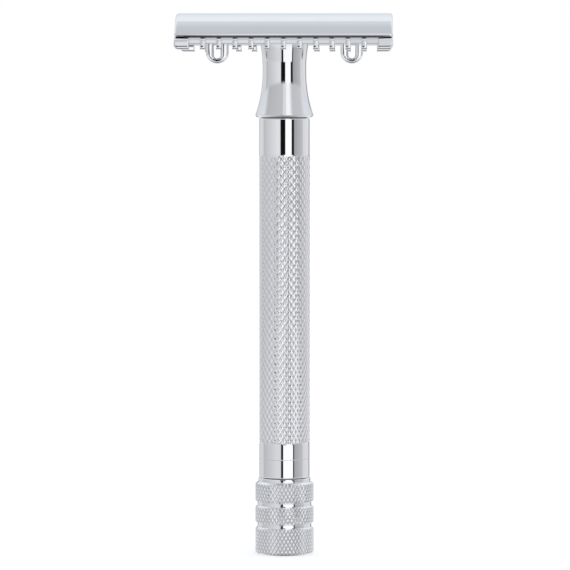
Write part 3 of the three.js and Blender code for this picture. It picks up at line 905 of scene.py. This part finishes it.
class Graph:
    """A node tree under construction. A value is a number, a tuple or another node's output."""

    def __init__(self, owner):
        owner.use_nodes = True
        self.nodes = owner.node_tree.nodes
        self.links = owner.node_tree.links

    def feed(self, socket, value):
        if isinstance(value, bpy.types.NodeSocket):
            self.links.new(value, socket)
        else:
            socket.default_value = value

    def calculate(self, operation, *values):
        node = self.nodes.new("ShaderNodeMath")
        node.operation = operation
        for socket, value in zip(node.inputs, values):
            self.feed(socket, value)
        return node.outputs["Value"]

    def between(self, value, low, high, start=0.3, end=0.7):
        """The value's range from start to end, spread from low to high."""
        spread = self.nodes.new("ShaderNodeMapRange")
        keys = ("Value", "From Min", "From Max", "To Min", "To Max")
        for key, number in zip(keys, (value, start, end, low, high)):
            self.feed(spread.inputs[key], number)
        return spread.outputs["Result"]

    def blend(self, share, first, second):
        """A colour between two colours."""
        mix = self.nodes.new("ShaderNodeMix")
        mix.data_type = "RGBA"
        self.links.new(share, mix.inputs["Factor"])
        for socket, colour in ((mix.inputs[6], first), (mix.inputs[7], second)):
            self.feed(socket, (*colour, 1) if isinstance(colour, tuple) else colour)
        return mix.outputs[2]

    def mixed(self, share, first, second):
        """A number between two other nodes' outputs."""
        mix = self.nodes.new("ShaderNodeMix")
        for socket, value in ((mix.inputs[0], share), (mix.inputs[2], first), (mix.inputs[3], second)):
            self.links.new(value, socket)
        return mix.outputs[0]


class Finish(Graph):
    """A Principled material under construction, with the procedural nodes that feed it."""

    def __init__(self, name, metallic, **constants):
        self.material = bpy.data.materials.new(name)
        super().__init__(self.material)
        self.shader = self.nodes["Principled BSDF"]
        self.shader.inputs["Metallic"].default_value = metallic
        for key, value in constants.items():
            self.shader.inputs[key.replace("_", " ")].default_value = value

    def noise(self, size, detail=2, stretch=(1, 1, 1)):
        """Noise with features about size metres across, drawn out along the stretched axes."""
        position = self.nodes.new("ShaderNodeTexCoord").outputs["Object"]
        mapping = self.nodes.new("ShaderNodeMapping")
        mapping.inputs["Scale"].default_value = [1 / (size * s) for s in stretch]
        self.links.new(position, mapping.inputs["Vector"])
        texture = self.nodes.new("ShaderNodeTexNoise")
        texture.inputs["Scale"].default_value = 1
        texture.inputs["Detail"].default_value = detail
        self.links.new(mapping.outputs["Vector"], texture.inputs["Vector"])
        return texture.outputs["Fac"]

    def attribute(self, name):
        node = self.nodes.new("ShaderNodeAttribute")
        node.attribute_name = name
        return node.outputs["Fac"]

    def colour(self, value):
        self.links.new(value, self.shader.inputs["Base Color"])

    def roughness(self, value):
        self.links.new(value, self.shader.inputs["Roughness"])

    def bump(self, value, height, strength=0.3):
        node = self.nodes.new("ShaderNodeBump")
        node.inputs["Strength"].default_value = strength
        node.inputs["Distance"].default_value = height
        self.links.new(value, node.inputs["Height"])
        self.links.new(node.outputs["Normal"], self.shader.inputs["Normal"])


# ---- Materials ----


def wiping_marks(finish, roughest):
    """Roughness in fine streaks, from 0.02 up to the roughest."""
    return finish.between(finish.noise(0.25 * MM, stretch=(12, 12, 1)), 0.02, roughest)


def orange_peel(finish, strength):
    finish.bump(finish.noise(1.6 * MM, detail=1), 0.002 * MM, strength)


def polished_chrome():
    """Mirror plating with faint haze, a slight orange peel and fine wiping marks."""
    finish = Finish("polished_chrome", 1)
    haze = finish.noise(6 * MM, detail=3)
    finish.colour(finish.blend(haze, (0.86, 0.865, 0.88), (0.9, 0.905, 0.915)))
    finish.roughness(wiping_marks(finish, 0.06))
    orange_peel(finish, 0.25)
    return finish.material


def knurled_chrome():
    """Plating over a knurl: less even, with painted shade that darkens the bottom of the grooves."""
    finish = Finish("knurled_chrome", 1)
    haze = finish.noise(5 * MM, detail=3)
    bright = finish.blend(haze, (0.89, 0.895, 0.91), (0.93, 0.935, 0.945))
    # Painted shade: the bottoms of the knurl's grooves are darkened towards grey by the groove
    # attribute.
    shaded = finish.between(finish.attribute("groove"), 0, 0.8, start=0.2, end=1)
    finish.colour(finish.blend(shaded, bright, (0.55, 0.56, 0.58)))
    coarse = finish.between(finish.noise(0.5 * MM, detail=3), 0.09, 0.18)
    finish.roughness(finish.mixed(finish.attribute("knurled"), wiping_marks(finish, 0.05), coarse))
    orange_peel(finish, 0.2)
    return finish.material


def turned_steel():
    """Bright steel with the fine rings that a lathe leaves."""
    finish = Finish("turned_steel", 1)
    rings = finish.noise(0.06 * MM, stretch=(60, 60, 1))
    finish.colour(finish.blend(finish.noise(3 * MM), (0.5, 0.51, 0.53), (0.62, 0.63, 0.65)))
    finish.roughness(finish.between(rings, 0.22, 0.4))
    finish.bump(rings, 0.006 * MM)
    return finish.material


def blade_steel():
    """Thin hard strip with grinding lines along its length, and a near-black band of painted shade along
    its edges.
    """
    finish = Finish("blade_steel", 1)
    lines = finish.noise(0.05 * MM, stretch=(80, 1, 1))
    sheet = finish.blend(finish.noise(4 * MM), (0.74, 0.76, 0.79), (0.84, 0.86, 0.89))
    # Painted shade: the near-black band along the upper edges stands in for the shadow in the gap under
    # the cap's lip.
    finish.colour(finish.blend(finish.attribute("gap_shade"), sheet, (0.05, 0.052, 0.06)))
    finish.roughness(finish.between(lines, 0.1, 0.2))
    finish.bump(lines, 0.001 * MM)
    return finish.material


def spring_steel():
    """Dark, oiled and blotchy."""
    finish = Finish("spring_steel", 1)
    blotch = finish.noise(0.8 * MM, detail=4)
    finish.colour(finish.blend(blotch, (0.16, 0.16, 0.18), (0.3, 0.29, 0.29)))
    finish.roughness(finish.between(blotch, 0.3, 0.5))
    finish.bump(finish.noise(0.1 * MM), 0.004 * MM)
    return finish.material


def drawn_brass():
    """Brass bar with lines along its length and slightly tarnished patches."""
    finish = Finish("drawn_brass", 1)
    patches = finish.noise(2.5 * MM, detail=4)
    lines = finish.noise(0.08 * MM, stretch=(1, 1, 40))
    finish.colour(finish.blend(patches, (0.62, 0.44, 0.17), (0.78, 0.62, 0.33)))
    finish.roughness(finish.between(lines, 0.24, 0.4))
    finish.bump(lines, 0.004 * MM)
    return finish.material


def moulded_nylon():
    """Waxy off-white plastic with a fine moulded grain."""
    finish = Finish("moulded_nylon", 0, Subsurface_Weight=0.1, Subsurface_Scale=0.0004)
    finish.colour(finish.blend(finish.noise(1.5 * MM, detail=3), (0.7, 0.66, 0.56), (0.8, 0.77, 0.69)))
    finish.roughness(finish.between(finish.noise(0.3 * MM), 0.38, 0.52))
    finish.bump(finish.noise(0.15 * MM), 0.006 * MM)
    return finish.material


def dress(piece, material):
    piece.data.materials.clear()
    piece.data.materials.append(material)


# ---- Pieces on their bodies ----


def place(piece, body, node, slot, material):
    dress(piece, material)
    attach(piece, body)
    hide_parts(node)


def build_razor():
    chrome, knurl = polished_chrome(), knurled_chrome()
    steel, brass, nylon = turned_steel(), drawn_brass(), moulded_nylon()
    place(make_cap(), "cap", "cap", "chrome", chrome)
    place(make_comb(), "handle", "comb_plate", "chrome", chrome)
    place(make_neck(), "handle", "neck", "chrome", chrome)
    place(make_tube(), "handle", "handle_tube", "chrome", knurl)
    place(make_knob(), "knob", "knob", "chrome", knurl)
    place(make_stud(), "cap", "cap_stud", "steel", steel)
    blade = make_blade()
    place(blade, "cap", "blade", "blade_steel", blade_steel())
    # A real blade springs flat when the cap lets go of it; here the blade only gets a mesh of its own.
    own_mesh(blade)
    dress(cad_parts["lower_bush"], brass)
    dress(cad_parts["draw_nut"], brass)
    dress(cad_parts["spindle"], steel)
    dress(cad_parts["retaining_clip"], spring_steel())
    dress(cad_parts["thrust_washer"], nylon)


# ---- Studio ----

CHROME_REFLECTANCE = 0.88
# Brightness of the studio round the razor, as it shows in the chrome. Each stop is an angle in
# degrees and a display level from 0 to 255. 0 degrees is the photographer's side, and the angle
# grows towards +X.
AROUND_LEVEL = [
    (-180, 195), (-173, 195), (-172, 40), (-163, 40), (-162, 209), (-112, 210), (-110, 182),
    (-60, 205), (-30, 220), (-18.4, 216), (-17, 28), (-5, 12), (4.6, 28), (5.6, 252),
    (32.9, 252), (33.9, 30), (44.7, 30), (45.7, 156), (92.5, 187), (93.5, 209), (130, 219),
    (146, 214), (147, 40), (153, 40), (154, 208), (180, 195),
]
# The same a little below the horizon.
AROUND_BELOW = [
    (-180, 195), (-173, 195), (-172, 40), (-163, 40), (-162, 205), (-112, 205), (-110, 180),
    (-60, 198), (-30, 212), (-15.6, 206), (-14.6, 28), (-6, 14), (-5.2, 28), (-4.2, 250),
    (39.4, 250), (40.4, 30), (45.5, 30), (46.5, 160), (92.5, 187), (93.5, 207), (130, 214),
    (146, 212), (147, 40), (153, 40), (154, 206), (180, 195),
]
# The low front part of the dome over the razor.
DOME_FRONT = [
    (-180, 195), (-90, 178), (-30, 188), (-7, 190), (-4, 222), (-1.5, 222), (0.3, 208), (5, 215),
    (12, 244), (24, 244), (32, 215), (40, 190), (90, 196), (180, 195),
]
# The dome behind the razor, by height over the horizon in degrees.
DOME_BEHIND = [
    (0, 212), (17, 217), (31, 228), (40, 234), (52, 234), (54, 213), (61, 210), (66, 202), (71, 198),
    (90, 195),
]
WALL_TINT = (0.985, 0.995, 1.025)
DOME_TINT = (0.95, 1.0, 1.06)
# The table, by height over the horizon in degrees: darkest straight down, where the razor
# stands in its own shade.
TABLE_BELOW = [(-90, 110), (-70, 150), (-45, 205), (-25, 234), (0, 242)]
TABLE_START, TABLE_FULL = -16, -26  # degrees over the horizon where the levels change
BELOW_START, BELOW_FULL = -3.5, -4.5
DOME_START, DOME_FULL = 8, 11
BEHIND_START, BEHIND_FULL = -8, 8  # degrees from straight up, towards the back
FLOOR_RADIUS = 3
FLOOR_SIDES = 96
FLOOR_COLOUR = (0.9, 0.9, 0.91, 1)
FLOOR_GLOW = 0.38
LIGHT_HEIGHT = 0.9
LIGHT_SIZE = 1.2
LIGHT_POWER = 1


def chrome_light(level, tint):
    """The light that shows in the chrome at a display level."""
    light = srgb(level) / CHROME_REFLECTANCE
    return (*[light * share for share in tint], 1)


def level_ramp(graph, stops, angle, low, high, tint):
    """The light at an angle in radians, from (degrees, level) stops between low and high."""
    node = graph.nodes.new("ShaderNodeValToRGB")
    elements = node.color_ramp.elements
    while len(elements) < len(stops):
        elements.new(0.5)
    for element, (degrees, level) in zip(elements, stops):
        element.position = (degrees - low) / (high - low)
        element.color = chrome_light(level, tint)
    graph.links.new(share_between(graph, angle, low, high), node.inputs["Fac"])
    return node.outputs["Color"]


def share_between(graph, angle, low, high):
    """0 to 1 as an angle in radians goes from low to high degrees."""
    return graph.between(angle, 0, 1, math.radians(low), math.radians(high))


def make_world():
    world = bpy.data.worlds.new("studio")
    bpy.context.scene.world = world
    graph = Graph(world)
    direction = graph.nodes.new("ShaderNodeSeparateXYZ")
    looking = graph.nodes.new("ShaderNodeTexCoord").outputs["Generated"]
    graph.links.new(looking, direction.inputs["Vector"])
    x, y, z = (direction.outputs[axis] for axis in "XYZ")
    azimuth = graph.calculate("ARCTAN2", x, graph.calculate("MULTIPLY", y, -1.0))
    elevation = graph.calculate("ARCSINE", z)
    backwards = graph.calculate("ARCSINE", y)
    table = level_ramp(graph, TABLE_BELOW, elevation, -90, 0, WALL_TINT)
    level = level_ramp(graph, AROUND_LEVEL, azimuth, -180, 180, WALL_TINT)
    below = level_ramp(graph, AROUND_BELOW, azimuth, -180, 180, WALL_TINT)
    front = level_ramp(graph, DOME_FRONT, azimuth, -180, 180, WALL_TINT)
    behind = level_ramp(graph, DOME_BEHIND, elevation, 0, 90, DOME_TINT)
    lower = graph.blend(share_between(graph, elevation, TABLE_START, TABLE_FULL), below, table)
    walls = graph.blend(share_between(graph, elevation, BELOW_START, BELOW_FULL), level, lower)
    dome = graph.blend(share_between(graph, backwards, BEHIND_START, BEHIND_FULL), front, behind)
    studio = graph.blend(share_between(graph, elevation, DOME_START, DOME_FULL), walls, dome)
    # The camera itself sees plain white behind the razor.
    camera_ray = graph.nodes.new("ShaderNodeLightPath").outputs["Is Camera Ray"]
    seen = graph.blend(camera_ray, studio, (1, 1, 1))
    graph.links.new(seen, graph.nodes["Background"].inputs["Color"])


def make_floor():
    """A white table top, lit enough to be as pale as the background, and not seen from below."""
    bpy.ops.mesh.primitive_circle_add(vertices=FLOOR_SIDES, radius=FLOOR_RADIUS, fill_type="NGON")
    floor = bpy.context.object
    floor.name = "floor"
    floor.visible_glossy = False
    top = Finish(
        "white_table", 0, Base_Color=FLOOR_COLOUR, Roughness=0.9, Specular_IOR_Level=0,
        Emission_Color=(1, 1, 1, 1), Emission_Strength=FLOOR_GLOW,
    )
    clear = top.nodes.new("ShaderNodeBsdfTransparent")
    sides = top.nodes.new("ShaderNodeMixShader")
    below = top.nodes.new("ShaderNodeNewGeometry").outputs["Backfacing"]
    for socket, value in zip(sides.inputs, (below, top.shader.outputs["BSDF"], clear.outputs["BSDF"])):
        top.links.new(value, socket)
    top.links.new(sides.outputs["Shader"], top.nodes["Material Output"].inputs["Surface"])
    dress(floor, top.material)
    floor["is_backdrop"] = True


def make_light():
    light = bpy.data.lights.new("softbox", "AREA")
    light.size = LIGHT_SIZE
    light.energy = LIGHT_POWER
    holder = bpy.data.objects.new("softbox", light)
    holder.location = (0, 0, LIGHT_HEIGHT)
    holder.visible_glossy = False
    bpy.context.scene.collection.objects.link(holder)


CAMERA_DISTANCE = 650 * MM
CAMERA_AZIMUTH = math.radians(1.1)
CAMERA_HEIGHT = 83.95 * MM
CAMERA_AIM = Vector((0.085 * MM, 0, 51 * MM))
PICTURE_WIDTH = 107.9 * MM  # what the picture spans at the razor
SENSOR_WIDTH = 36  # in millimetres, as Blender's cameras state it


def make_camera():
    camera = bpy.data.cameras.new("camera")
    camera.sensor_width = SENSOR_WIDTH
    camera.lens = SENSOR_WIDTH * CAMERA_DISTANCE / PICTURE_WIDTH
    camera.clip_start = CAMERA_DISTANCE / 10
    holder = bpy.data.objects.new("camera", camera)
    bpy.context.scene.collection.objects.link(holder)
    across = CAMERA_DISTANCE * math.sin(CAMERA_AZIMUTH)
    back = CAMERA_DISTANCE * math.cos(CAMERA_AZIMUTH)
    holder.location = (across, -back, CAMERA_HEIGHT)
    holder.rotation_euler = (CAMERA_AIM - holder.location).to_track_quat("-Z", "Y").to_euler()
    bpy.context.scene.camera = holder


build_razor()
make_world()
make_floor()
make_light()
make_camera()
bpy.context.scene.view_settings.view_transform = "Standard"

visual_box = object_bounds()
boxes = {"cad": cad_box, "visual": visual_box}
{name: [list(corner) for corner in box] for name, box in boxes.items()}
